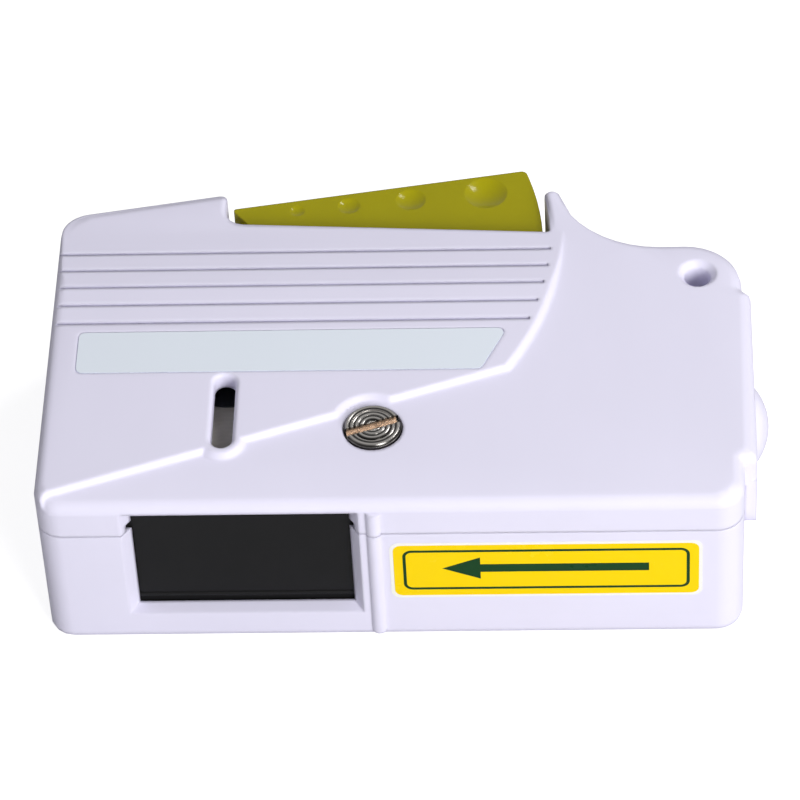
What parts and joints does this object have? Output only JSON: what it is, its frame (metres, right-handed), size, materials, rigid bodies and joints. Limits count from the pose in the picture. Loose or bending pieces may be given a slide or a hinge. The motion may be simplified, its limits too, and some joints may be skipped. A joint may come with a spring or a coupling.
{
  "type": "fibre optic connector cleaner",
  "caption": "Cassette cleaner for fibre connectors: a thumb lever opens a shutter over a slotted window and winds a dry cleaning tape past it; two-part case with strap hole and coin screw.",
  "frame": {"origin": "bottom centre of the whole object, lying on its rear face with the lever up at rest", "axes": "+X along the case towards the strap lug and the latch button, +Y from the window side towards the thumb lever, +Z out of the front cover"},
  "size_m": [0.1194, 0.0808, 0.0331],
  "materials": {
    "shell": "satin",
    "label": "satin",
    "sticker": "gloss",
    "screw_metal": "turned",
    "steel": "satin",
    "brass": "satin",
    "lever_olive": "gloss",
    "shutter_black": "satin",
    "acetal": "satin",
    "acetal_blue": "satin",
    "reel_dark": "satin",
    "pawl_orange": "satin",
    "tape_used": "matt",
    "tape_cloth": "matt",
    "frame_grey": "satin",
    "pad_rubber": "matt"
  },
  "bodies": {
    "base": {"rear_case": "shell", "arrow_sticker": "sticker", "screw_insert": "brass", "lever_pin": "steel", "lever_spring": "steel", "gear_pin": "steel", "takeup_axle": "steel", "supply_spindle": "frame_grey", "tape": "tape_cloth", "roller_pins": "steel", "cartridge_frame": "frame_grey", "backing_pad": "pad_rubber", "backstop_pawl": "pawl_orange", "latch_spring": "steel", "frame_screws": "steel"},
    "cover": {"front_cover": "shell", "name_plate": "label"},
    "retainer": {"screw_retainer": "steel"},
    "screw": {"coin_screw": "screw_metal"},
    "lever": {"lever": "lever_olive"},
    "shutter": {"shutter": "shutter_black", "shutter_rack": "acetal"},
    "drive_gear": {"drive_gear": "acetal"},
    "ratchet_gear": {"ratchet_gear": "acetal_blue"},
    "takeup": {"takeup_hub": "reel_dark", "pawl_ring": "pawl_orange", "takeup_reel": "reel_dark", "takeup_roll": "tape_used"},
    "supply": {"supply_reel": "reel_dark", "supply_roll": "tape_cloth"},
    "roller_left": {"guide_roller_left": "acetal"},
    "roller_right": {"guide_roller_right": "acetal"},
    "button": {"latch_button": "shell"}
  },
  "joints": [
    {"name": "lever_press", "type": "hinge", "parent": "base", "child": "lever", "pos_m": [-0.0357, 0.02187, 0.015], "axis": [0, 0, -1], "range_deg": [0, 12], "stiffness_Nm_per_rad": 0.15, "springref_deg": -14.32, "deforming": ["lever_spring"]},
    {"name": "drive_spin", "type": "hinge", "parent": "base", "child": "drive_gear", "pos_m": [0.01284, -0.02166, 0.005], "axis": [0, 0, 1], "range_deg": [0, 183.6]},
    {"name": "shutter_slide", "type": "slide", "parent": "base", "child": "shutter", "axis": [1, 0, 0], "range_m": [0, 0.03718]},
    {"name": "ratchet_spin", "type": "hinge", "parent": "base", "child": "ratchet_gear", "pos_m": [0.02663, -0.01009, 0.004], "axis": [0, 0, -1], "range_deg": [0, 52.47]},
    {"name": "takeup_spin", "type": "hinge", "parent": "base", "child": "takeup", "pos_m": [0.02663, -0.01009, 0.015], "axis": [0, 0, -1], "continuous": true, "deforming": ["pawl_ring", "backstop_pawl"]},
    {"name": "supply_spin", "type": "hinge", "parent": "base", "child": "supply", "pos_m": [-0.0297, -0.00363, 0.015], "axis": [0, 0, 1], "continuous": true},
    {"name": "roller_left_spin", "type": "hinge", "parent": "base", "child": "roller_left", "pos_m": [-0.0502, -0.03178, 0.015], "axis": [0, 0, 1], "continuous": true},
    {"name": "roller_right_spin", "type": "hinge", "parent": "base", "child": "roller_right", "pos_m": [0.0003, -0.03178, 0.015], "axis": [0, 0, 1], "continuous": true},
    {"name": "latch_press", "type": "slide", "parent": "cover", "child": "button", "axis": [-1, 0, 0], "range_m": [0, 0.0009], "stiffness_N_per_m": 1500, "springref_m": -0.001, "deforming": ["latch_spring"]},
    {"name": "cover_lift", "type": "slide", "parent": "base", "child": "cover", "axis": [0, 0, 1], "range_m": [0, 0.045]},
    {"name": "screw_rise", "type": "slide", "parent": "cover", "child": "retainer", "axis": [0, 0, 1], "range_m": [0, 0.0021]},
    {"name": "screw_turn", "type": "hinge", "parent": "retainer", "child": "screw", "pos_m": [-0.0051, -0.02263, 0.029], "axis": [0, 0, 1], "range_deg": [0, 1080]}
  ],
  "couplings": [
    {"joint": "drive_spin", "follows": "lever_press", "ratio": 15.3},
    {"joint": "shutter_slide", "follows": "lever_press", "m_per_rad": 0.17748},
    {"joint": "ratchet_spin", "follows": "lever_press", "ratio": 4.3714},
    {"joint": "supply_spin", "follows": "takeup_spin", "ratio": 0.5},
    {"joint": "roller_left_spin", "follows": "takeup_spin", "ratio": -3.7},
    {"joint": "roller_right_spin", "follows": "takeup_spin", "ratio": -3.7},
    {"joint": "screw_turn", "follows": "screw_rise", "rad_per_m": 8976}
  ]
}
